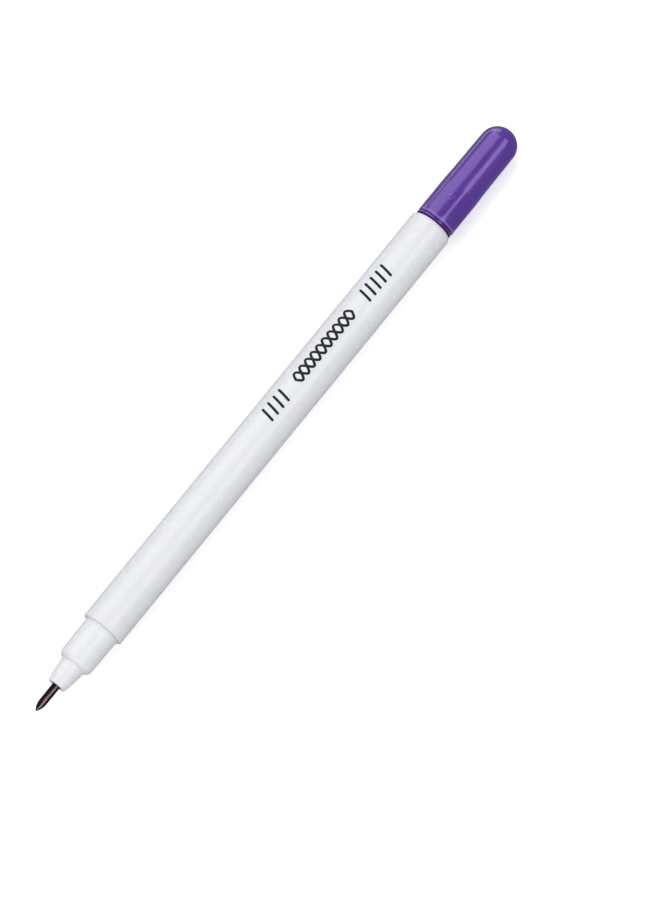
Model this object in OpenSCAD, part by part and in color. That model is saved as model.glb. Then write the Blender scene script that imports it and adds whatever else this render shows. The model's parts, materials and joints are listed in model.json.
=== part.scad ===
// Fabric marking pen with a fibre nib, its cap posted on the tail.
// The pen lies on its side: +X runs from the nib to the cap and +Z is up. The origin is
// on the surface that it lies on, under the middle of its length.

/* [Barrel] */
// Outer diameter of the barrel
barrel_d = 8.4; // [8.2:0.1:8.8]
// Length of the barrel
barrel_len = 97; // [80:0.1:110]
// Wall of the barrel
barrel_wall = 0.85; // [0.75:0.05:0.95]
// Radius of the rounding round the barrel's tail
tail_round_r = 1.3; // [1.1:0.1:1.5]

/* [Front section] */
// Length of the cone, from the nib's mouth to the shoulder
cone_len = 4.8; // [4.5:0.1:5.5]
// Diameter of the cone at the nib's mouth
tip_d = 3.6; // [3.2:0.05:3.8]
// Diameter of the cone where it meets the shoulder
cone_d = 4.88; // [4.6:0.02:5.2]
// Diameter of the neck at the shoulder
neck_front_d = 6.8; // [6.7:0.02:6.9]
// Diameter of the neck at the barrel
neck_rear_d = 7; // [6.92:0.02:7.04]
// Length of the neck, from the rounded shoulder to the barrel
neck_len = 7.3; // [6.8:0.1:7.6]
// Length of the insert that is pressed into the barrel
insert_len = 9; // [8:0.5:10]

/* [Nib] */
// Diameter of the nib
nib_d = 1.6; // [1.5:0.05:1.7]
// Length of nib that shows in front of the section
nib_out = 5.95; // [5:0.05:6]
// Whole length of the nib
nib_len = 37; // [34:0.5:45]

/* [Reservoir] */
// Diameter of the fibre reservoir
core_d = 5.9; // [5.6:0.1:6]
// Thickness of the film round the reservoir
film = 0.1; // [0.05:0.01:0.15]
// Outer diameter of the breather tube
breather_d = 1.2; // [1:0.1:1.2]

/* [Tail plug] */
// Length of the plug inside the barrel
plug_len = 5.2; // [4.5:0.1:6]
// Diameter of the spigot that the cap is posted on
spigot_d = 6.5; // [6.4:0.02:6.5]
// Length of the spigot
spigot_len = 7; // [6:0.1:7]

/* [Cap] */
// Length of the cap
cap_len = 22.9; // [22.6:0.1:24]
// Outer diameter of the cap's skirt
cap_d = 7.68; // [7.6:0.02:7.8]
// Inner diameter of the cap's skirt
skirt_bore_d = 7.12; // [7.08:0.02:7.16]
// Length of the skirt, which covers the neck when the cap is on the nib
skirt_len = 8; // [7.8:0.1:8.4]
// Diameter of the cap behind the skirt
cap_body_d = 7.5; // [7.44:0.02:7.54]
// Diameter of the domed end
dome_d = 7.32; // [7.2:0.02:7.4]
// Number of gripping ribs inside the skirt
rib_count = 6; // [4:1:8]
// Angle of the first rib round the cap, from the top
rib_turn = 34; // [0:1:59]
// Gap between the cap's mouth and the barrel
cap_gap = 0.3; // [0.1:0.05:0.4]

/* [Hidden] */
$fn = 96;
arc_steps = 10;

// Turn of the seam lines of the round pieces. It puts a flat of their coarse meshes against
// the floor, so that the pen doesn't stand on the line between two flats
seam_turn = 3.83;

// Small sizes that several pieces share: an edge's chamfer, the depth by which a piece
// that is joined on runs into the wall, and the depth by which a cut runs past a face
edge = 0.15;
overlap = 0.1;
beyond = 1;

// Barrel
barrel_r = barrel_d / 2;
bore_r = barrel_r - barrel_wall;
tail_round_angle = 55;

// Rounded shoulder between the cone and the neck
shoulder_r = 1.2;
shoulder_angle = acos((shoulder_r - (neck_front_d - cone_d) / 2) / shoulder_r);
shoulder_len = shoulder_r * sin(shoulder_angle);

// Places along the pen, measured from the nib's point
section_at = nib_out;
barrel_at = section_at + cone_len + shoulder_len + neck_len;
tail_at = barrel_at + barrel_len;
cap_at = tail_at + cap_gap;
pen_len = cap_at + cap_len;

// Nib
nib_r = nib_d / 2;
nib_point_len = 2.2;
nib_point_bow_r = 3.75;
nib_tail_len = 1.6;
nib_tail_r = 0.25;

// Front section: tip, mouth, bowed cone, insert, and the tube that holds the nib
tip_round_r = 0.12;
tip_round_end = -15;
cone_bow_r = 30;
cone_bow_from = [0.02, 0.2];
mouth_r = nib_r + 0.1;
mouth_depth = 1;
mouth_chamfer = 0.1;
insert_wall = 0.75;
insert_chamfer = 0.3;
cavity_at = cone_len + 1.7;
nib_tube_r = 1.5;
nib_tube_end = 18;
nib_lead = [0.2, 0.3];
air_slot = 0.35;
air_slot_turns = [0, 120, 240];
air_slot_lead = 0.3;
vent_notch = [1.2, 1.5];

// Snap rings of the insert and the plug, and their places
snap_height = 0.06;
snap_len = 1.2;
insert_snap_at = 4.2;
plug_snap_at = 3;

// Reservoir, with clearance in front of it and behind it
core_r = core_d / 2;
core_at = barrel_at + insert_len + 0.2;
core_end = tail_at - plug_len - 0.3;
breather_offset = 1.85;
breather_wall = 0.2;
breather_lead = 0.8;

// Tail plug
plug_collar_r = bore_r + 0.1;
plug_collar_len = 0.8;
plug_wall = 0.8;
cross_wall = 0.6;
spigot_r = spigot_d / 2;
spigot_chamfer = 0.4;

// Cap
cap_r = cap_d / 2;
skirt_bore_r = skirt_bore_d / 2;
skirt_fade_len = 2.5;
skirt_step = [-0.1, 0.3];
lip_groove = [0.3, 0.55, 1.1];
lip_groove_depth = 0.12;
dome_r = dome_d / 2;
dome_at = cap_len - dome_r;
cap_bore_r = dome_r - 0.54;

// Gripping ribs inside the cap's skirt
rib_gap = 0.05;
rib_from = 1.5;
rib_to = 7.7;
rib_lead = 0.6;
rib_w = 0.5;

// Seal tube inside the cap, which runs into the dome
seal_bore_r = 2;
seal_wall = 0.45;
seal_lead = [0.2, 0.4];
seal_at = 12.2;
seal_end = dome_at + sqrt(pow(cap_bore_r, 2) - pow(seal_bore_r, 2)) + overlap / 4;

// Puts its children on the pen's axis at a distance from the nib's point, with their +Z along +X
module along(distance) {
    translate([distance - pen_len / 2, 0, barrel_r])
        rotate([0, 90, 0])
            children();
}

// Turns an outline of [radius, distance] points about the pen's axis
module turned(distance, outline) {
    along(distance)
        rotate([0, 0, seam_turn])
            rotate_extrude()
                polygon(outline);
}

// Points of an arc in an outline, from one angle to another
function arc(centre, r, from, to) = [
    for (i = [0:arc_steps])
        let (a = from + (to - from) * i / arc_steps)
        centre + r * [cos(a), sin(a)]
];

// Points of a shallow arc between two points, bowed outwards to a large radius
function bow(start, end, r) =
    let (
        middle = (start + end) / 2,
        half = norm(end - start) / 2,
        along_unit = (end - start) / (2 * half),
        inward = [-along_unit[1], along_unit[0]],
        centre = middle + inward * sqrt(r * r - half * half),
        first = atan2((start - centre)[1], (start - centre)[0]),
        last = atan2((end - centre)[1], (end - centre)[0])
    )
    arc(centre, r, first, last);

// Points of a snap ring that stands out of a wall by snap_height
function snap_ring(r, middle) = [
    [r, middle - snap_len / 2],
    [r + snap_height, middle - snap_len / 6],
    [r + snap_height, middle + snap_len / 6],
    [r, middle + snap_len / 2]
];

function reversed(points) = [for (i = [len(points) - 1:-1:0]) points[i]];

// Tube with a rounded tail, a counterbore for the plug's collar and two snap grooves
module barrel() {
    tail_arc_centre = [barrel_r - tail_round_r, barrel_len - tail_round_r * sin(tail_round_angle)];
    color("whitesmoke")
        turned(barrel_at, concat(
            [[bore_r + edge, 0], [barrel_r - edge, 0], [barrel_r, edge]],
            arc(tail_arc_centre, tail_round_r, 0, tail_round_angle),
            [[plug_collar_r, barrel_len], [plug_collar_r, barrel_len - plug_collar_len]],
            [[bore_r, barrel_len - plug_collar_len]],
            reversed(snap_ring(bore_r, barrel_len - plug_snap_at)),
            reversed(snap_ring(bore_r, insert_len - insert_snap_at)),
            [[bore_r, edge]]
        ));
}

// Nib holder: cone, rounded shoulder and neck in front, a hollow insert with a nib tube behind
module front_section() {
    tip_r = tip_d / 2;
    neck_front_r = neck_front_d / 2;
    neck_at = cone_len + shoulder_len;
    neck_end = neck_at + neck_len;
    insert_end = neck_end + insert_len;
    cavity_r = bore_r - insert_wall;
    tip_corner = [tip_r - tip_round_r, tip_round_r];
    shoulder_centre = [neck_front_r - shoulder_r, neck_at];
    color("whitesmoke")
        difference() {
            turned(section_at, concat(
                [[mouth_r + mouth_chamfer, 0]],
                arc(tip_corner, tip_round_r, -90, tip_round_end),
                bow([tip_r, 0] + cone_bow_from, [cone_d / 2, cone_len], cone_bow_r),
                arc(shoulder_centre, shoulder_r, -shoulder_angle, 0),
                [[neck_rear_d / 2, neck_end], [bore_r, neck_end]],
                snap_ring(bore_r, insert_end - insert_snap_at),
                [[bore_r, insert_end - insert_chamfer], [bore_r - insert_chamfer, insert_end]],
                [[cavity_r, insert_end], [cavity_r, cavity_at], [nib_tube_r, cavity_at]],
                [[nib_tube_r, nib_tube_end], [nib_r + nib_lead[0], nib_tube_end]],
                [[nib_r, nib_tube_end - nib_lead[1]], [nib_r, mouth_depth]],
                [[mouth_r, mouth_depth - mouth_chamfer], [mouth_r, mouth_chamfer]]
            ));
            // Air slots beside the nib
            along(section_at + mouth_depth - air_slot_lead)
                for (turn = air_slot_turns)
                    rotate([0, 0, turn])
                        translate([nib_r - overlap, -air_slot / 2, 0])
                            cube([air_slot, air_slot, nib_tube_end]);
            // Vent notches across the insert's rim
            along(section_at + insert_end)
                cube([2 * barrel_r, vent_notch[0], 2 * vent_notch[1]], center = true);
        }
}

// Fibre rod with a bullet point in front and a blunt spear behind
module nib() {
    point_centre = [nib_r - nib_point_bow_r, nib_point_len];
    color("#1b070c")
        turned(0, concat(
            [[0, 0]],
            arc(point_centre, nib_point_bow_r, -asin(nib_point_len / nib_point_bow_r), 0),
            [[nib_r, nib_len - nib_tail_len], [nib_tail_r, nib_len], [0, nib_len]]
        ));
}

// Bundle of polyester fibre with a pocket for the nib and a channel for the breather tube
module reservoir_core() {
    nib_depth = nib_len - core_at;
    core_len = core_end - core_at;
    color("#4a2a86")
        difference() {
            turned(core_at, [
                [nib_r, 0],
                [core_r, 0],
                [core_r, core_len],
                [0, core_len],
                [0, nib_depth],
                [nib_tail_r, nib_depth],
                [nib_r, nib_depth - nib_tail_len]
            ]);
            along(core_at - beyond)
                translate([-breather_offset, 0, 0])
                    cylinder(h = core_len + 2 * beyond, d = breather_d);
        }
}

// Clear film sleeve round the fibre
module reservoir_film() {
    color("lavender")
        turned(core_at, [
            [core_r, 0],
            [core_r + film, 0],
            [core_r + film, core_end - core_at],
            [core_r, core_end - core_at]
        ]);
}

// Thin tube through the fibre that lets air pass behind the ink
module breather_tube() {
    tube_len = core_end - core_at + breather_lead;
    color("ghostwhite")
        along(core_at - breather_lead)
            translate([-breather_offset, 0, 0])
                difference() {
                    cylinder(h = tube_len, d = breather_d);
                    translate([0, 0, -beyond])
                        cylinder(h = tube_len + 2 * beyond, d = breather_d - 2 * breather_wall);
                }
}

// Hollow plug with a collar, a snap ring, a spigot for the cap and a cross that holds the fibre
module tail_plug() {
    hollow_r = bore_r - plug_wall;
    spigot_wall = spigot_r - hollow_r;
    hollow_end = spigot_len - spigot_wall;
    cross_r = hollow_r + overlap;
    cross_len = tail_at - core_end + hollow_end + overlap;
    color("#5a30a0") {
        turned(tail_at, concat(
            [[hollow_r, -plug_len], [bore_r - edge, -plug_len], [bore_r, edge - plug_len]],
            snap_ring(bore_r, -plug_snap_at),
            [[bore_r, -plug_collar_len], [plug_collar_r, -plug_collar_len], [plug_collar_r, 0]],
            [[spigot_r, 0], [spigot_r, spigot_len - spigot_chamfer]],
            [[spigot_r - spigot_chamfer, spigot_len], [0, spigot_len]],
            [[0, hollow_end], [hollow_r, hollow_end]]
        ));
        along(core_end)
            intersection() {
                cylinder(h = cross_len, r = cross_r);
                union() {
                    translate([-cross_r, -cross_wall / 2, 0])
                        cube([2 * cross_r, cross_wall, cross_len]);
                    translate([-cross_wall / 2, -cross_r, 0])
                        cube([cross_wall, 2 * cross_r, cross_len]);
                }
            }
    }
}

// Domed cap: a skirt with a grooved lip and gripping ribs inside, and a seal tube for the cone
module cap() {
    color("#5a30a0") {
        turned(cap_at, concat(
            [[skirt_bore_r + edge / 2, 0], [cap_r - edge / 2, 0], [cap_r, edge / 2]],
            [[cap_r, lip_groove[0]], [cap_r - lip_groove_depth, lip_groove[1]]],
            [[cap_r, lip_groove[2]], [cap_r, skirt_len]],
            [[cap_body_d / 2, skirt_len + skirt_fade_len]],
            arc([0, dome_at], dome_r, 0, 90),
            arc([0, dome_at], cap_bore_r, 90, 0),
            [[cap_bore_r, skirt_len + skirt_step[1]], [skirt_bore_r, skirt_len + skirt_step[0]]],
            [[skirt_bore_r, edge / 2]]
        ));
        turned(cap_at, [
            [seal_bore_r + seal_lead[0], seal_at],
            [seal_bore_r + seal_wall, seal_at],
            [seal_bore_r + seal_wall, seal_end],
            [seal_bore_r, seal_end],
            [seal_bore_r, seal_at + seal_lead[1]]
        ]);
        along(cap_at)
            for (i = [0:rib_count - 1])
                rotate([0, 0, rib_turn + 360 * i / rib_count])
                    rib();
    }
}

// One gripping rib of the cap, on the side of -X before it is turned
module rib() {
    rib_r = spigot_r + rib_gap;
    root_r = skirt_bore_r + overlap;
    rotate([90, 0, 180])
        linear_extrude(height = rib_w, center = true)
            polygon([
                [root_r, rib_from],
                [root_r, rib_to],
                [rib_r, rib_to],
                [rib_r, rib_from + rib_lead]
            ]);
}

barrel();
front_section();
nib();
reservoir_core();
reservoir_film();
breather_tube();
tail_plug();
cap();
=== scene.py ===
import json
from math import acos, asin, cos, degrees, exp, hypot, pi, radians, sin, sqrt

import bmesh
import bpy
from mathutils import Matrix, Vector


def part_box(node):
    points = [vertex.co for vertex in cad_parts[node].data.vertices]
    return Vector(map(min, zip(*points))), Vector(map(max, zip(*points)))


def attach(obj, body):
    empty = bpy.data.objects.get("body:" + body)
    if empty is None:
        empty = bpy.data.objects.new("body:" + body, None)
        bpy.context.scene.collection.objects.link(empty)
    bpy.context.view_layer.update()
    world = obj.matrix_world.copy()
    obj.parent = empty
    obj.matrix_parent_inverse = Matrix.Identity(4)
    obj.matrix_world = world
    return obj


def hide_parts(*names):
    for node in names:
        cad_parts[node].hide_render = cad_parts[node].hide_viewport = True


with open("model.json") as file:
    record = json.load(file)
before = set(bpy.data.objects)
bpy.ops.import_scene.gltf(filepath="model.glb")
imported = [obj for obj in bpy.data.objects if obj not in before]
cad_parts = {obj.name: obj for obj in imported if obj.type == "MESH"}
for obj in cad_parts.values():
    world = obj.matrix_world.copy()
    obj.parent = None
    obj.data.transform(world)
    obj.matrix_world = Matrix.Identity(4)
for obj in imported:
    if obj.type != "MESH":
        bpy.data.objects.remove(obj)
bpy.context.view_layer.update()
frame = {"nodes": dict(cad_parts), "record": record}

# Outlines are written in millimetres, as (place along the pen, distance from its axis)
MM = 0.001


def span(node):
    """Where a CAD node starts and ends along the pen, in millimetres."""
    low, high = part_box(node)
    return low.x / MM, high.x / MM


GRIP = frame["record"]["mounts"][0]
AXIS_Z = GRIP["pos_m"][2]
BARREL_R = GRIP["dims"]["r_mm"]
BARREL_FROM, BARREL_TO = span("barrel")
SECTION_FROM, SECTION_TO = span("front_section")
NIB_FROM, NIB_TO = span("nib")
PLUG_FROM, PLUG_TO = span("tail_plug")
CAP_FROM, CAP_TO = span("cap")

# Sizes that more than one piece needs, in millimetres
BORE_R = 3.35
NIB_R = 0.8
SPIGOT_R = 3.25
COLLAR_LEN = 0.8
CONE_LEN = 4.8
MOUTH_R = 0.9
CAP_R = 3.84
CAP_BORE_R = 3.56

# Along the cap from its mouth, in millimetres: its lip's groove and the ridge with a painted
# highlight, its lip's round and length, its ribs and its skirt
GROOVE_AT = 0.40
RIDGE_AT = 0.83
LIP_ROUND = 0.06
LIP_LEN = 1.3
RIBS_FROM = 1.5
RIBS_TO = 7.7
SKIRT_LEN = 8

# The print, in millimetres
STROKE = 0.5
INK_THICKNESS = 0.014
INK_SUNK = 0.02

# Middle of the print and of the nib's painted highlight streak, in degrees from the pen's top towards -Y
PRINT_TURN = 1.75
HIGHLIGHT_STREAK_TURN = 34


# ---------------------------------------------------------------- camera, light and floor

# The camera looks down on the pen at this elevation, and the nib is tilted towards it. The roll lays
# the pen across the picture, and LOOK_RIGHT and LOOK_DOWN move the camera's aim off the pen's middle.
TILT = radians(12)
ELEVATION = radians(68)
ROLL = radians(50.85)
DISTANCE = 1.3
LENS = 285.5
LOOK_RIGHT = 9.96 * MM
LOOK_DOWN = 5.88 * MM
LIGHT_DISTANCE = 2.4


def add_camera():
    """Long lens over the pen, with the nib tilted towards it and to the lower left."""
    back = Vector((-sin(TILT), -cos(TILT) * cos(ELEVATION), cos(TILT) * sin(ELEVATION)))
    along = Vector((1, 0, 0))
    along = (along - along.dot(back) * back).normalized()
    across = along.cross(back)
    right = cos(ROLL) * along + sin(ROLL) * across
    up = sin(ROLL) * along - cos(ROLL) * across
    middle = Vector((0, 0, AXIS_Z)) + LOOK_RIGHT * right - LOOK_DOWN * up
    data = bpy.data.cameras.new("camera")
    data.sensor_width = 36
    data.lens = LENS
    data.clip_end = 100
    camera = bpy.data.objects.new("camera", data)
    camera.matrix_world = Matrix.Translation(middle + DISTANCE * back) @ Matrix(
        (right, up, back)
    ).transposed().to_4x4()
    bpy.context.scene.collection.objects.link(camera)
    bpy.context.scene.camera = camera
    bpy.context.scene.view_settings.view_transform = "Standard"


def add_softbox(name, turn, width, length, lean, radiance, in_gloss=True):
    """Area light round the pen's axis: turn is its angle from the top towards +Y and lean its
    angle towards +X, in degrees; width and length are in metres, across and along the pen. A light
    that is not in_gloss stands for bounced light, which leaves no highlight of its own."""
    a, b = radians(turn), radians(lean)
    towards = Vector((sin(b), cos(b) * sin(a), cos(b) * cos(a)))
    data = bpy.data.lights.new(name, "AREA")
    data.shape = "RECTANGLE"
    data.size = length
    data.size_y = width
    data.energy = radiance * pi * width * length
    light = bpy.data.objects.new(name, data)
    x_axis = (Vector((1, 0, 0)) - towards.x * towards).normalized()
    y_axis = towards.cross(x_axis)
    light.matrix_world = Matrix.Translation(LIGHT_DISTANCE * towards) @ Matrix(
        (x_axis, y_axis, towards)
    ).transposed().to_4x4()
    light.visible_camera = False
    light.visible_glossy = in_gloss
    bpy.context.scene.collection.objects.link(light)


def add_world(lighting, backdrop):
    """Even grey light from all round, and a paler backdrop where the camera sees past the floor."""
    world = bpy.data.worlds.new("studio")
    bpy.context.scene.world = world
    world.use_nodes = True
    tree = world.node_tree
    background = tree.nodes["Background"]
    path = tree.nodes.new("ShaderNodeLightPath")
    mix = tree.nodes.new("ShaderNodeMapRange")
    mix.inputs["To Min"].default_value = lighting
    mix.inputs["To Max"].default_value = backdrop
    tree.links.new(path.outputs["Is Camera Ray"], mix.inputs["Value"])
    tree.links.new(mix.outputs["Result"], background.inputs["Strength"])
    background.inputs["Color"].default_value = (0.97, 0.98, 1, 1)


def add_floor():
    """Plain pale paper. Its own weak glow keeps the pen's shadow on it faint."""
    half, pale, paler = 8, (0.93, 0.93, 0.93), (0.95, 0.95, 0.95)
    corners = [(-half, -half, 0), (half, -half, 0), (half, half, 0), (-half, half, 0)]
    mesh = bpy.data.meshes.new("floor")
    mesh.from_pydata(corners, [], [(0, 1, 2, 3)])
    floor = bpy.data.objects.new("floor", mesh)
    bpy.context.scene.collection.objects.link(floor)
    floor.visible_glossy = False
    floor.visible_diffuse = False
    paint = Paint("floor_paper", roughness=0.9, specular=0)
    paint.colour(paint.ramp(paint.noise(180, 3), (0.4, pale), (0.6, paler)))
    paint.shader.inputs["Emission Color"].default_value = (1, 1, 1, 1)
    paint.shader.inputs["Emission Strength"].default_value = 0.35
    mesh.materials.append(paint.material)


# ---------------------------------------------------------------- materials


class Paint:
    """A node material round one Principled shader. Its places are in metres, in the pen's frame."""

    def __init__(self, name, **constants):
        self.material = bpy.data.materials.new(name)
        self.material.use_nodes = True
        self.tree = self.material.node_tree
        self.shader = self.tree.nodes["Principled BSDF"]
        self.place = self.node("ShaderNodeTexCoord").outputs["Object"]
        names = {
            "roughness": "Roughness", "specular": "Specular IOR Level", "ior": "IOR",
            "tint": "Specular Tint", "transmission": "Transmission Weight",
            "subsurface": "Subsurface Weight", "subsurface_scale": "Subsurface Scale",
            "sheen": "Sheen Weight", "sheen_roughness": "Sheen Roughness",
        }
        for key, value in constants.items():
            self.shader.inputs[names[key]].default_value = value

    def node(self, kind, **inputs):
        made = self.tree.nodes.new(kind)
        for key, value in inputs.items():
            self.feed(made.inputs[key], value)
        return made

    def feed(self, socket, value):
        if isinstance(value, bpy.types.NodeSocket):
            self.tree.links.new(value, socket)
        else:
            socket.default_value = value

    def noise(self, scale, detail, stretch=(1, 1, 1)):
        """Noise of so many cells to the metre, drawn out along an axis where stretch is under 1."""
        mapped = self.node("ShaderNodeMapping", Vector=self.place, Scale=stretch).outputs[0]
        return self.node("ShaderNodeTexNoise", Vector=mapped, Scale=scale, Detail=detail).outputs["Fac"]

    def math(self, operation, a, b=0.0):
        made = self.tree.nodes.new("ShaderNodeMath")
        made.operation = operation
        for socket, value in zip(made.inputs, (a, b)):
            self.feed(socket, value)
        return made.outputs[0]

    def spread(self, value, low, high, to_low=0.0, to_high=1.0):
        """Value from low to high, taken smoothly to the range from to_low to to_high."""
        made = self.node("ShaderNodeMapRange", Value=value)
        made.interpolation_type = "SMOOTHSTEP"
        limits = {"From Min": low, "From Max": high, "To Min": to_low, "To Max": to_high}
        for key, limit in limits.items():
            self.feed(made.inputs[key], limit)
        return made.outputs["Result"]

    def ramp(self, value, *stops):
        """Colour from a row of (place, colour) stops."""
        made = self.node("ShaderNodeValToRGB", Fac=value)
        elements = made.color_ramp.elements
        while len(elements) < len(stops):
            elements.new(1)
        for element, (at, colour) in zip(elements, stops):
            element.position = at
            element.color = (*colour, 1)
        return made.outputs["Color"]

    def blend(self, share, a, b):
        """Colour a where share is 0 and b where it is 1."""
        made = self.node("ShaderNodeMix")
        made.data_type = "RGBA"
        for index, value in ((0, share), (6, a), (7, b)):
            self.feed(made.inputs[index], value if not isinstance(value, tuple) else (*value, 1))
        return made.outputs[2]

    def colour(self, socket):
        self.feed(self.shader.inputs["Base Color"], socket)

    def roughness(self, socket):
        self.feed(self.shader.inputs["Roughness"], socket)

    def bump(self, height, distance, under=None):
        """Relief that rises by distance in metres where height is 1, over the relief of under."""
        made = self.node("ShaderNodeBump", Height=height, Distance=distance, Strength=1.0)
        if under is not None:
            self.feed(made.inputs["Normal"], under)
        return made.outputs["Normal"]

    def normal(self, socket):
        self.feed(self.shader.inputs["Normal"], socket)

    def from_axis(self):
        """Distance from the pen's axis, in metres."""
        split = self.node("ShaderNodeSeparateXYZ", Vector=self.place)
        height = self.math("SUBTRACT", split.outputs["Z"], AXIS_Z)
        across = self.math("POWER", split.outputs["Y"], 2.0)
        return self.math("SQRT", self.math("ADD", across, self.math("MULTIPLY", height, height)))

    def round_from(self, turn):
        """Angle round the pen in degrees, from a line at that turn from the top towards -Y."""
        split = self.node("ShaderNodeSeparateXYZ", Vector=self.place)
        height = self.math("SUBTRACT", split.outputs["Z"], AXIS_Z)
        angle = self.math("ARCTAN2", self.math("MULTIPLY", split.outputs["Y"], -1.0), height)
        return self.math("SUBTRACT", self.math("DEGREES", angle), turn)

    def along(self):
        """Place along the pen, in metres."""
        return self.node("ShaderNodeSeparateXYZ", Vector=self.place).outputs["X"]

    def ring(self, at, full, gone):
        """1 within full millimetres of a place along the pen, falling to 0 at gone millimetres."""
        away = self.math("ABSOLUTE", self.math("SUBTRACT", self.along(), at * MM))
        return self.spread(away, full * MM, gone * MM, 1, 0)


def white_plastic(name, tone):
    """Satin white polypropylene: faint flow marks, fine moulded grain and hairline scratches."""
    paint = Paint(name, specular=0.5, subsurface=0.2, subsurface_scale=0.0012)
    flow = paint.noise(240, 3, stretch=(0.25, 1, 1))
    darker = tuple(0.985 * x for x in tone)
    paint.colour(paint.ramp(flow, (0.35, darker), (0.65, tone)))
    scratched = paint.spread(paint.noise(5200, 2, stretch=(0.012, 1, 1)), 0.60, 0.72)
    patches = paint.spread(paint.noise(330, 3), 0.3, 0.7, 0.24, 0.31)
    paint.roughness(paint.math("ADD", patches, paint.math("MULTIPLY", scratched, 0.12)))
    grain = paint.bump(paint.noise(9000, 2), 0.0000016)
    paint.normal(paint.bump(paint.noise(420, 1), 0.000006, grain))
    return paint


def barrel_plastic():
    return white_plastic("barrel_plastic", (0.745, 0.755, 0.785)).material


def section_plastic():
    """The same white, turned dark violet round the nib in its mouth and a ragged way out from it."""
    edge_from, edge_to, ragged_reach = 0.80 * MM, 0.87 * MM, 0.34 * MM
    paint = white_plastic("section_plastic", (0.765, 0.775, 0.795))
    colour = paint.shader.inputs["Base Color"].links[0].from_socket
    mouth_ragged = paint.math("MULTIPLY", paint.noise(2600, 3), ragged_reach)
    reach = paint.math("SUBTRACT", paint.from_axis(), mouth_ragged)
    darkened = paint.spread(reach, edge_from, edge_to, 1, 0)
    near = paint.spread(paint.along(), (SECTION_FROM + 3) * MM, (SECTION_FROM + 6) * MM, 1, 0)
    # Dark violet round the nib's mouth, with a ragged edge a little way out.
    paint.colour(paint.blend(paint.math("MULTIPLY", darkened, near), colour, (0.05, 0.012, 0.05)))
    return paint.material


def violet_plastic():
    """Glossy violet polypropylene: slow swirls in its colour, light handling scratches, painted shade in
    the lip's groove, a pale painted highlight along its ridge and three scuffs on the skirt."""
    deep, bright, groove_shade = (0.076, 0.025, 0.265), (0.088, 0.030, 0.290), (0.015, 0.004, 0.045)
    highlight_violet, scraped = (0.22, 0.13, 0.47), (0.27, 0.17, 0.55)
    paint = Paint("violet_plastic", specular=1.0, ior=1.55, tint=(0.74, 0.56, 1, 1))
    swirl = paint.noise(300, 3, stretch=(0.35, 1, 1))
    violet = paint.ramp(swirl, (0.35, deep), (0.65, bright))
    # Painted shade: the colour darkens in the lip's groove, where its shadow falls.
    groove_shaded = paint.blend(paint.ring(CAP_FROM + GROOVE_AT, 0.10, 0.20), violet, groove_shade)
    patchy = paint.spread(swirl, 0.3, 0.7, 0.6, 1)
    # Painted highlight: a paler violet line along the ridge, where a light is reflected.
    ridge_highlight = paint.math("MULTIPLY", paint.ring(CAP_FROM + RIDGE_AT, 0.08, 0.24), patchy)
    shaded_and_highlit = paint.blend(ridge_highlight, groove_shaded, highlight_violet)
    scuffed = scuff(paint, at=5.1, turn=16, length=1.8, slant=22)
    scuffed = paint.math("MAXIMUM", scuffed, scuff(paint, at=5.6, turn=6.5, length=0.9, slant=37))
    scuffed = paint.math("MAXIMUM", scuffed, scuff(paint, at=7.8, turn=70, length=0.9, slant=-49))
    paint.colour(paint.blend(paint.math("MULTIPLY", scuffed, 0.7), shaded_and_highlit, scraped))
    hairlines = paint.spread(paint.noise(4300, 2, stretch=(0.02, 1, 1)), 0.60, 0.74)
    patches = paint.spread(paint.noise(520, 4), 0.35, 0.7, 0.17, 0.24)
    paint.roughness(paint.math("ADD", patches, paint.math("MULTIPLY", hairlines, 0.10)))
    grain = paint.bump(paint.noise(7000, 2), 0.0000008)
    paint.normal(paint.bump(paint.noise(520, 1), 0.000010, grain))
    return paint.material


def scuff(paint, at, turn, length, slant):
    """Share from 0 to 1 of a short scuff that is at millimetres from the cap's mouth and turn degrees
    from the top, with its length in millimetres and its slant to the pen's axis in degrees."""
    half_width, raggedness = 0.05, 0.12
    lean = radians(slant)
    a = paint.math("MULTIPLY", paint.round_from(turn), radians(1) * CAP_R)
    s = paint.math("SUBTRACT", paint.math("DIVIDE", paint.along(), MM), CAP_FROM + at)
    lengthwise = paint.math("MULTIPLY", s, cos(lean))
    lengthwise = paint.math("ADD", lengthwise, paint.math("MULTIPLY", a, sin(lean)))
    across = paint.math("MULTIPLY", a, cos(lean))
    across = paint.math("SUBTRACT", across, paint.math("MULTIPLY", s, sin(lean)))
    ragged = paint.math("MULTIPLY", paint.noise(4000, 2), raggedness)
    ragged = paint.math("ADD", paint.math("ABSOLUTE", across), ragged)
    narrow = paint.spread(ragged, half_width, 3 * half_width, 1, 0)
    short = paint.spread(paint.math("ABSOLUTE", lengthwise), 0.35 * length, 0.5 * length, 1, 0)
    return paint.math("MULTIPLY", narrow, short)


def nib_felt():
    """Bonded fibre soaked in ink, nearly black, with one long pale streak painted on as a highlight."""
    paint = Paint("nib_felt", specular=0.08)
    fibres = paint.noise(9000, 3, stretch=(0.05, 1, 1))
    soak = paint.noise(2600, 3, stretch=(0.3, 1, 1))
    wet = paint.ramp(fibres, (0.35, (0.004, 0.0012, 0.0018)), (0.7, (0.016, 0.005, 0.008)))
    highlight_streak = paint.ramp(fibres, (0.3, (0.16, 0.105, 0.115)), (0.7, (0.33, 0.24, 0.255)))
    wander = paint.spread(soak, 0.3, 0.7, -3, 3)
    off_centre = paint.math("ABSOLUTE", paint.math("ADD", paint.round_from(HIGHLIGHT_STREAK_TURN), wander))
    # Painted highlight: a pale pinkish streak along the nib, where a light is reflected.
    paint.colour(paint.blend(paint.spread(off_centre, 6, 22, 1, 0), wet, highlight_streak))
    paint.roughness(paint.spread(fibres, 0.3, 0.7, 0.45, 0.65))
    paint.normal(paint.bump(fibres, 0.00002))
    return paint.material


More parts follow.
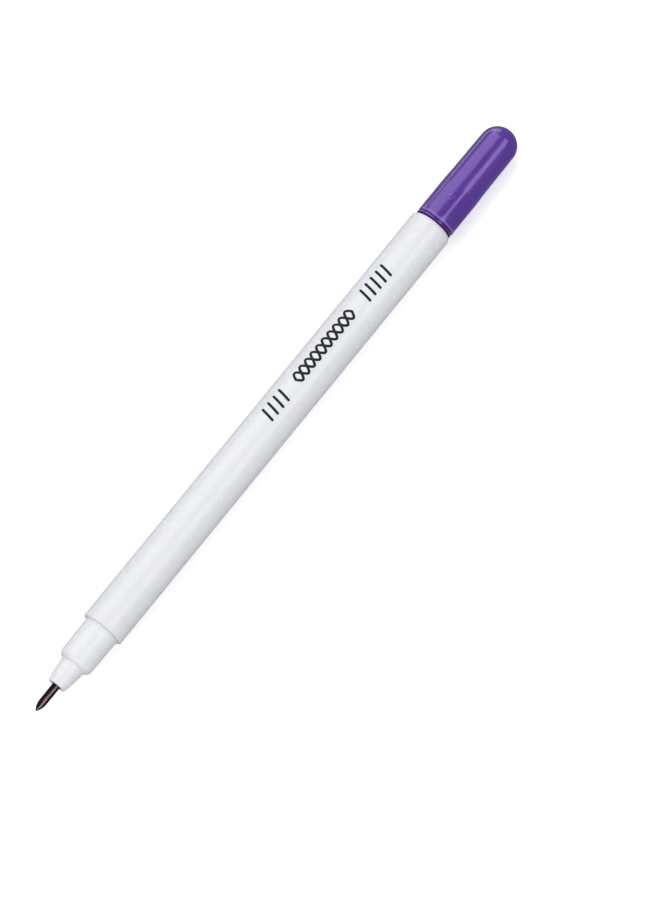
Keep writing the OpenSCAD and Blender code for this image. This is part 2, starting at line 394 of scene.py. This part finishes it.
def print_ink():
    """Black pad-printed ink, slightly uneven in density and gloss."""
    paint = Paint("print_ink", specular=0.15)
    mottle = paint.noise(6000, 3)
    paint.colour(paint.ramp(mottle, (0.3, (0.006, 0.006, 0.008)), (0.75, (0.022, 0.022, 0.026))))
    paint.roughness(paint.spread(mottle, 0.3, 0.7, 0.38, 0.55))
    paint.normal(paint.bump(mottle, 0.000003))
    return paint.material


def reservoir_fibre():
    """Polyester fibre drawn out along the pen and soaked in violet ink."""
    paint = Paint("reservoir_fibre", specular=0.3, sheen=0.2, sheen_roughness=0.5)
    fibres = paint.noise(6000, 3, stretch=(0.03, 1, 1))
    paint.colour(paint.ramp(fibres, (0.3, (0.05, 0.018, 0.16)), (0.7, (0.15, 0.075, 0.36))))
    paint.roughness(paint.spread(fibres, 0.3, 0.7, 0.6, 0.85))
    paint.normal(paint.bump(fibres, 0.00003))
    return paint.material


def clear_film():
    """Thin clear film with a faint lengthwise draw."""
    paint = Paint("clear_film", specular=0.5, transmission=0.85, ior=1.3)
    draw = paint.noise(3000, 2, stretch=(0.02, 1, 1))
    paint.colour(paint.ramp(draw, (0.3, (0.86, 0.86, 0.93)), (0.7, (0.93, 0.93, 0.97))))
    paint.roughness(paint.spread(draw, 0.3, 0.7, 0.08, 0.2))
    return paint.material


def natural_tube():
    """Milky unpigmented polyethylene."""
    paint = Paint("natural_tube", specular=0.5, subsurface=0.2, subsurface_scale=0.0004)
    haze = paint.noise(2500, 3, stretch=(0.2, 1, 1))
    paint.colour(paint.ramp(haze, (0.3, (0.74, 0.75, 0.78)), (0.7, (0.82, 0.82, 0.85))))
    paint.roughness(paint.spread(haze, 0.3, 0.7, 0.4, 0.55))
    return paint.material


# ---------------------------------------------------------------- outlines and lathes


def arc(x, r, radius, start, end, steps=8):
    """Points of an arc about (x, r): 0 degrees points away from the pen's axis and 90 along +X."""
    turns = [radians(start + (end - start) * i / steps) for i in range(steps + 1)]
    return [(x + radius * sin(t), r + radius * cos(t)) for t in turns]


def line(start, end, steps):
    """Points of a straight stretch, without its ends."""
    return [
        tuple(a + (b - a) * i / steps for a, b in zip(start, end)) for i in range(1, steps)
    ]


def lathe(name, outline, material, segments=192, shape=None):
    """Turns a closed outline about the pen's axis. shape(x, r, angle) may change a point's radius.
    Where the outline comes to the axis, at radius 0, it closes there."""
    bm = bmesh.new()
    rings = [lathe_ring(bm, x, r, segments, shape) for x, r in outline]
    pairs = list(zip(rings, rings[1:]))
    if outline[0][1] != 0:
        pairs.append((rings[-1], rings[0]))
    for near, far in pairs:
        if near[0] is near[1] and far[0] is far[1]:
            continue
        for i in range(segments):
            j = (i + 1) % segments
            corners = [near[i], near[j], far[j], far[i]]
            bm.faces.new([v for k, v in enumerate(corners) if v not in corners[:k]])
    return finish_mesh(name, bm, material)


def lathe_ring(bm, x, r, segments, shape):
    """Corners of one ring of a lathe, which are all the same one on the axis."""
    if r == 0:
        return [bm.verts.new((x * MM, 0, AXIS_Z))] * segments
    ring = []
    for i in range(segments):
        angle = 2 * pi * i / segments
        radius = (shape(x, r, angle) if shape else r) * MM
        ring.append(bm.verts.new((x * MM, -radius * sin(angle), AXIS_Z + radius * cos(angle))))
    return ring


def finish_mesh(name, bm, material):
    """Makes an object of a bmesh, smooth-shaded but for its sharp corners."""
    sharp_from = radians(38)
    bmesh.ops.recalc_face_normals(bm, faces=bm.faces)
    mesh = bpy.data.meshes.new(name)
    bm.to_mesh(mesh)
    bm.free()
    mesh.polygons.foreach_set("use_smooth", [True] * len(mesh.polygons))
    mesh.set_sharp_from_angle(angle=sharp_from)
    mesh.materials.append(material)
    made = bpy.data.objects.new(name, mesh)
    bpy.context.scene.collection.objects.link(made)
    return made


def place(piece, body, node):
    """Puts a piece on its body, in place of a CAD node if it stands for one."""
    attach(piece, body)
    if node:
        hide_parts(node)


# ---------------------------------------------------------------- the pen's pieces


def add_barrel():
    """Plain tube with a square front edge, a rounded tail and a counterbore for the plug's collar."""
    front_round, collar_r, lead_in = 0.08, BORE_R + 0.1, 0.12
    tail_r, tail_turn, edge = 1.3, 55, 0.03
    tail_x = BARREL_TO - tail_r * sin(radians(tail_turn))
    outline = [(BARREL_FROM, BORE_R + lead_in)]
    outline += arc(BARREL_FROM + front_round, BARREL_R - front_round, front_round, -90, 0, 6)
    outline += line((BARREL_FROM + front_round, BARREL_R), (tail_x, BARREL_R), 40)
    outline += arc(tail_x, BARREL_R - tail_r, tail_r, 0, tail_turn, 14)
    outline += [(BARREL_TO, collar_r + edge), (BARREL_TO - edge, collar_r)]
    outline += [(BARREL_TO - COLLAR_LEN, collar_r), (BARREL_TO - COLLAR_LEN, BORE_R)]
    outline += line((BARREL_TO - COLLAR_LEN, BORE_R), (BARREL_FROM + lead_in, BORE_R), 40)
    outline += [(BARREL_FROM + lead_in, BORE_R)]
    barrel = lathe("barrel_shell", outline, barrel_plastic(), segments=256)
    place(barrel, "pen", "barrel")


def bowed_cone(start, end, bow_r, steps=16):
    """Points from start to end on a line that bows outwards with radius bow_r, both ends included."""
    bow = (end[0] - start[0]) ** 2 / 8 / bow_r
    points = []
    for i in range(steps + 1):
        t = i / steps
        bulge = 4 * t * (1 - t) * bow
        points.append((start[0] + t * (end[0] - start[0]), start[1] + t * (end[1] - start[1]) + bulge))
    return points


def section_outside():
    """Outline from the mouth round the nib, over cone, shoulder and neck, to the insert's rear end."""
    tip_r, cone_r, cone_bow = 1.8, 2.44, 30
    neck_front_r, neck_rear_r, shoulder_r = 3.4, 3.5, 1.2
    tip_round, mouth_round, insert_r, chamfer = 0.1, 0.08, BORE_R - 0.01, 0.3
    tip_slope, corner_turn = 6, 4
    x = SECTION_FROM
    cone_end = x + CONE_LEN
    shoulder_turn = acos((shoulder_r - (neck_front_r - cone_r)) / shoulder_r)
    neck_x = cone_end + shoulder_r * sin(shoulder_turn)
    outline = arc(x + mouth_round, MOUTH_R + mouth_round, mouth_round, 180, 270, 4)
    outline += arc(x + tip_round, tip_r - tip_round, tip_round, -90, -tip_slope, 8)
    # The cone stops just short of the round at each of its ends, which leaves a soft corner there
    outline += bowed_cone((x + 0.15, tip_r + 0.01), (cone_end - 0.12, cone_r - 0.015), cone_bow)
    shoulder_from = corner_turn - degrees(shoulder_turn)
    outline += arc(neck_x, neck_front_r - shoulder_r, shoulder_r, shoulder_from, 0, 14)
    outline += line((neck_x, neck_front_r), (BARREL_FROM, neck_rear_r), 14)
    outline += [(BARREL_FROM, neck_rear_r), (BARREL_FROM, insert_r)]
    outline += line((BARREL_FROM, insert_r), (SECTION_TO - chamfer, insert_r), 8)
    outline += [(SECTION_TO - chamfer, insert_r), (SECTION_TO, insert_r - chamfer)]
    return outline


def section_inside():
    """Outline back from the insert's rear end: its cavity, the tube that holds the nib, and the mouth."""
    insert_wall, cavity_from, mouth_depth = 0.75, CONE_LEN + 1.7, 1
    tube_r, tube_len, lead_in, nib_fit = 1.5, 18, 0.3, 0.005
    x = SECTION_FROM
    cavity_r, cavity_x, tube_x = BORE_R - insert_wall, x + cavity_from, x + tube_len
    bore = [(tube_x - lead_in, NIB_R + nib_fit), (x + mouth_depth, NIB_R + nib_fit)]
    outline = [(SECTION_TO, cavity_r), (cavity_x, cavity_r), (cavity_x, tube_r)]
    outline += [(tube_x, tube_r), (tube_x, NIB_R + 0.2), bore[0]]
    return outline + line(*bore, 10) + [bore[1], (x + mouth_depth, MOUTH_R)]


def add_section():
    """Nib holder with a stepped nose, pressed into the barrel."""
    outline = section_outside() + section_inside()
    section = lathe("section_shell", outline, section_plastic(), segments=256)
    place(section, "pen", "front_section")


def add_nib():
    """Ridged fibre rod with a bullet point in front and a blunt spear in the reservoir."""
    point_len, bow_r, tip_r, steps = 2.2, 3.75, 0.12, 24
    tail_len, tail_r = 1.6, 0.25
    ridges, ridge = 30, 0.006

    def fibres(x, r, angle):
        depth = ridge * min(1, r / NIB_R) * (0.5 - 0.5 * cos(ridges * angle + 0.8 * sin(5 * angle)))
        return r - depth

    outline = [(NIB_FROM, 0)]
    for i in range(1, steps + 1):
        x = point_len * (i / steps) ** 1.4
        bow = NIB_R - (bow_r - sqrt(bow_r ** 2 - (point_len - x) ** 2))
        blunt = sqrt(max(0, 1 - (1 - min(1, x / tip_r)) ** 2))
        outline.append((NIB_FROM + x, bow * blunt))
    outline += line((NIB_FROM + point_len, NIB_R), (NIB_TO - tail_len, NIB_R), steps)
    outline += [(NIB_TO - tail_len, NIB_R), (NIB_TO, tail_r), (NIB_TO, 0)]
    nib = lathe("nib_fibre", outline, nib_felt(), segments=240, shape=fibres)
    place(nib, "pen", "nib")


def add_plug(plastic):
    """Hollow plug with a collar at the barrel's tail and the spigot that the cap is posted on."""
    wall, collar_r, body_r, chamfer = 0.8, BORE_R + 0.09, BORE_R - 0.01, 0.15
    end_round, corner = 0.4, 0.08
    hollow_r = BORE_R - wall
    hollow_to = PLUG_TO - (SPIGOT_R - hollow_r)
    outline = [(hollow_to, 0), (hollow_to, hollow_r), (PLUG_FROM, hollow_r)]
    outline += [(PLUG_FROM, body_r - chamfer), (PLUG_FROM + chamfer, body_r)]
    outline += [(BARREL_TO - COLLAR_LEN, body_r), (BARREL_TO - COLLAR_LEN, collar_r), (BARREL_TO, collar_r)]
    outline += arc(BARREL_TO + corner, SPIGOT_R + corner, corner, 270, 180, 4)
    outline += line((BARREL_TO + corner, SPIGOT_R), (PLUG_TO - end_round, SPIGOT_R), 10)
    outline += arc(PLUG_TO - end_round, SPIGOT_R - end_round, end_round, 0, 90, 8)
    outline += gate_mark(PLUG_TO)
    plug = lathe("plug_shell", outline, plastic, segments=192)
    place(plug, "pen", "tail_plug")
    bite, stand_out = 0.05, 0.3
    cross = plug_cross(hollow_r + bite, PLUG_FROM - stand_out, hollow_to + bite, plastic)
    place(cross, "pen", "tail_plug")


def gate_mark(end):
    """Outline of the shallow dimple in the spigot's end, with the stub of the moulding gate in it."""
    rim_r, floor_r, stub_r, depth, stub_depth = 0.62, 0.5, 0.3, 0.12, 0.04
    outline = [(end, rim_r), (end - depth, floor_r), (end - depth, stub_r)]
    return outline + [(end - stub_depth, stub_r - stub_depth), (end - stub_depth, 0)]


def plug_cross(reach, start, end, plastic):
    """Crossed walls inside the plug, which stand out of its front and hold the fibre in its place."""
    half = 0.3
    quarter = [(half, half), (half, reach), (-half, reach)]
    corners = []
    for turn in range(4):
        a = radians(90 * turn)
        corners += [(y * cos(a) - z * sin(a), z * cos(a) + y * sin(a)) for y, z in quarter]
    bm = bmesh.new()
    ends = [[bm.verts.new((x * MM, y * MM, AXIS_Z + z * MM)) for y, z in corners] for x in (start, end)]
    for ring in ends:
        bm.faces.new(ring)
    for i, corner in enumerate(ends[0]):
        j = (i + 1) % len(corners)
        bm.faces.new((corner, ends[0][j], ends[1][j], ends[1][i]))
    return finish_mesh("plug_cross", bm, plastic)


def lip(x):
    """Outline of the cap's lip: a narrow rim, a groove and a low ridge, joined by smooth slopes."""
    stations = [(0.20, -0.02), (GROOVE_AT, -0.16), (0.85, 0.05), (LIP_LEN, 0)]
    steps = 8
    points = []
    for (start, low), (end, high) in zip(stations, stations[1:]):
        for i in range(steps):
            share = 0.5 - 0.5 * cos(pi * i / steps)
            points.append((x + start + (end - start) * i / steps, CAP_R + low + (high - low) * share))
    end, level = stations[-1]
    return points + [(x + end, CAP_R + level)]


def ribbed(x, r, angle):
    """Shape of the cap's skirt: gripping ribs inside, and a raised line outside over each of them."""
    first_turn, count, rib_r = 34, 6, SPIGOT_R + 0.05
    lead, half, soft = 0.6, 4.2, 0.8
    raised, raised_half, raised_fade = 0.05, 0.6, 0.35
    touch = 0.01
    turn = (degrees(angle) - first_turn) % (360 / count)
    turn = min(turn, 360 / count - turn)
    at = x - CAP_FROM
    if abs(r - CAP_BORE_R) < touch and RIBS_FROM < at < RIBS_TO:
        depth = (CAP_BORE_R - rib_r) * min(1, (at - RIBS_FROM) / lead)
        return r - depth * max(0, min(1, (half + soft / 2 - turn) / soft))
    if r > CAP_R - touch and at > LIP_LEN:
        from_line = radians(turn) * r
        inwards = max(0, min(1, (at - RIBS_FROM) / raised_fade, (SKIRT_LEN - at) / raised_fade))
        return r + raised * inwards * exp(-((from_line / raised_half) ** 2))
    return r


def cap_outside(x, dome_x, dome_r):
    """Outline from the cap's mouth over its lip, skirt and body to the dome's top."""
    body_r, fade_len, rim_r = 3.75, 2.5, CAP_R - 0.02
    skirt_x, body_x = x + SKIRT_LEN, x + SKIRT_LEN + fade_len
    outline = arc(x + LIP_ROUND, CAP_BORE_R + LIP_ROUND, LIP_ROUND, 180, 270, 4)
    outline += arc(x + LIP_ROUND, rim_r - LIP_ROUND, LIP_ROUND, -90, 0, 5)
    outline += lip(x)
    outline += line((x + LIP_LEN, CAP_R), (skirt_x, CAP_R), 60) + [(skirt_x, CAP_R)]
    outline += line((skirt_x, CAP_R), (body_x, body_r), 6) + [(body_x, body_r)]
    outline += line((body_x, body_r), (dome_x, dome_r), 12)
    return outline + arc(dome_x, 0, dome_r, 0, 90, 40)[:-1] + [(CAP_TO, 0)]


def cap_inside(x, dome_x, inner_r):
    """Outline back from under the dome's top: the seal tube, the body's bore and the skirt's bore."""
    seal_r, seal_wall, seal_lead, seal_x = 2.0, 0.45, 0.4, x + 12.2
    step_from, step_to = SKIRT_LEN - 0.1, SKIRT_LEN + 0.3
    rear_gap, front_gap = 0.02, 0.01
    seal_turn = degrees(asin(seal_r / inner_r))
    wall_turn = degrees(asin((seal_r + seal_wall) / inner_r))
    inner_dome = arc(dome_x, 0, inner_r, 90, 90 - seal_turn, 8)[1:]
    outer_dome = arc(dome_x, 0, inner_r, 90 - wall_turn, 0, 12)
    seal = [(seal_x + seal_lead, seal_r), (seal_x, seal_r + seal_lead / 2), (seal_x, seal_r + seal_wall)]
    outline = [(dome_x + inner_r, 0)] + inner_dome
    outline += line(inner_dome[-1], seal[0], 8) + seal
    outline += line(seal[-1], outer_dome[0], 8) + outer_dome
    step = [(x + step_to, inner_r), (x + step_from, CAP_BORE_R)]
    outline += line((dome_x, inner_r), step[0], 10) + step
    ribs_to, ribs_from = (x + RIBS_TO, CAP_BORE_R), (x + RIBS_FROM, CAP_BORE_R)
    outline += [(x + RIBS_TO + rear_gap, CAP_BORE_R)]
    outline += line(ribs_to, (x + RIBS_FROM + front_gap, CAP_BORE_R), 30)
    return outline + [ribs_from] + line(ribs_from, (x + LIP_ROUND, CAP_BORE_R), 5)


def add_cap(plastic):
    """Domed cap with a grooved lip, gripping ribs inside and a tube that seals against the cone."""
    dome_r, inner_r = 3.66, 3.12
    dome_x = CAP_TO - dome_r
    outline = cap_outside(CAP_FROM, dome_x, dome_r) + cap_inside(CAP_FROM, dome_x, inner_r)
    cap = lathe("cap_shell", outline, plastic, segments=360, shape=ribbed)
    place(cap, "cap", "cap")


# ---------------------------------------------------------------- the print


def on_barrel(bm, s, a, height):
    """New corner at s along the pen and a round the barrel, at that height over its surface."""
    r = (BARREL_R + height) * MM
    turn = a / BARREL_R
    return bm.verts.new((s * MM, -r * sin(turn), AXIS_Z + r * cos(turn)))


def stroke_rows(path, half):
    """Each point of a path with its direction and half width, the ends rounded off."""
    rows = []
    last = len(path) - 1
    for i, (s, a) in enumerate(path):
        s0, a0 = path[max(0, i - 1)]
        s1, a1 = path[min(last, i + 1)]
        length = hypot(s1 - s0, a1 - a0)
        way = ((s1 - s0) / length, (a1 - a0) / length)
        if 0 < i < last:
            rows.append(((s, a), way, half))
            continue
        outward = -1 if i == 0 else 1
        ends = []
        for turn in (0, 25, 50, 70, 84):
            out = half * sin(radians(turn)) * outward
            ends.append(((s + way[0] * out, a + way[1] * out), way, half * cos(radians(turn))))
        rows += ends[::-1] if i == 0 else ends
    return rows


def add_stroke(bm, path, lift=0.0):
    """Adds a closed ribbon of ink that stands a little out of the barrel and is sunk a little into it.
    lift raises a stroke that crosses another, so that no two of their faces lie in one surface."""
    across = (-1, -0.5, 0, 0.5, 1)
    rows = stroke_rows(path, STROKE / 2)
    grids = []
    for height in (INK_THICKNESS + lift, -INK_SUNK - lift):
        grids.append([
            [on_barrel(bm, s - way[1] * half * k, a + way[0] * half * k, height) for k in across]
            for (s, a), way, half in rows
        ])
    top, bottom = grids
    last, side = len(rows) - 1, len(across) - 1
    for i in range(last):
        for k in range(side):
            bm.faces.new((top[i][k], top[i][k + 1], top[i + 1][k + 1], top[i + 1][k]))
            bm.faces.new((bottom[i][k], bottom[i + 1][k], bottom[i + 1][k + 1], bottom[i][k + 1]))
        for k in (0, side):
            bm.faces.new((top[i][k], top[i + 1][k], bottom[i + 1][k], bottom[i][k]))
    for i in (0, last):
        for k in range(side):
            bm.faces.new((top[i][k], top[i][k + 1], bottom[i][k + 1], bottom[i][k]))


def add_slanted(bm, start, end, count, centre, tall):
    """Row of slanted stitches between two distances from the nib's tip, each leaning over part of the
    pitch. centre is where the row runs round the barrel and tall is half its height."""
    lean_share, steps = 0.65, 8
    pitch = (end - start) / (count - 1 + lean_share)
    lean = lean_share * pitch - STROKE
    for i in range(count):
        foot = NIB_FROM + start + STROKE / 2 + i * pitch
        path = [(foot + lean * k / steps, centre + tall * (1 - 2 * k / steps)) for k in range(steps + 1)]
        add_stroke(bm, path)


def add_braid(bm, start, end, waves, centre, tall):
    """Two opposed waves that cross each other, between two distances from the nib's tip."""
    steps, crossing_lift = 200, 0.004
    for side, lift in ((-1, 0), (1, crossing_lift)):
        path = []
        for i in range(steps + 1):
            t = i / steps
            s = NIB_FROM + start + STROKE / 2 + t * (end - start - STROKE)
            path.append((s, centre + side * tall * sin(2 * pi * waves * t)))
        add_stroke(bm, path, lift)


def add_print():
    """A generic stitch sample where the real barrel has its lettering: slanted stitches on both
    sides of a braid."""
    centre, tall = radians(PRINT_TURN) * BARREL_R, 1.36
    braid_tall = 0.78 * tall
    # Where the three groups start and end, in millimetres from the nib's tip
    front, middle, rear = (67.9, 73.7), (76.5, 93.5), (96.7, 103.8)
    bm = bmesh.new()
    add_slanted(bm, *front, 4, centre, tall)
    add_braid(bm, *middle, 5, centre, braid_tall)
    add_slanted(bm, *rear, 5, centre, tall)
    piece = finish_mesh("barrel_print", bm, print_ink())
    place(piece, "pen", None)


def dress_reservoir():
    """The reservoir's CAD pieces are right in shape, so they only get their materials."""
    dresses = {
        "reservoir_core": reservoir_fibre(),
        "reservoir_film": clear_film(),
        "breather_tube": natural_tube(),
    }
    for node, material in dresses.items():
        mesh = frame["nodes"][node].data
        mesh.materials.clear()
        mesh.materials.append(material)


# ---------------------------------------------------------------- everything together

add_camera()
add_world(lighting=0.32, backdrop=1.0)
add_softbox("key", turn=32, width=2.7, length=2.6, lean=14, radiance=1.52)
add_softbox("strip", turn=-45, width=1.0, length=3.6, lean=14, radiance=2.15)
add_softbox("rim", turn=91, width=0.3, length=3.6, lean=14, radiance=2.6)
add_softbox("low", turn=-10, width=3.0, length=1.6, lean=-52, radiance=1.1)
add_softbox("nose", turn=-22, width=2.4, length=1.0, lean=-78, radiance=2.0)
add_softbox("end", turn=68, width=1.2, length=1.3, lean=50, radiance=1.8)
add_softbox("fill", turn=-78, width=2.2, length=3.6, lean=14, radiance=0.62, in_gloss=False)
add_floor()
add_barrel()
add_section()
add_nib()
plastic = violet_plastic()
add_plug(plastic)
add_cap(plastic)
add_print()
dress_reservoir()
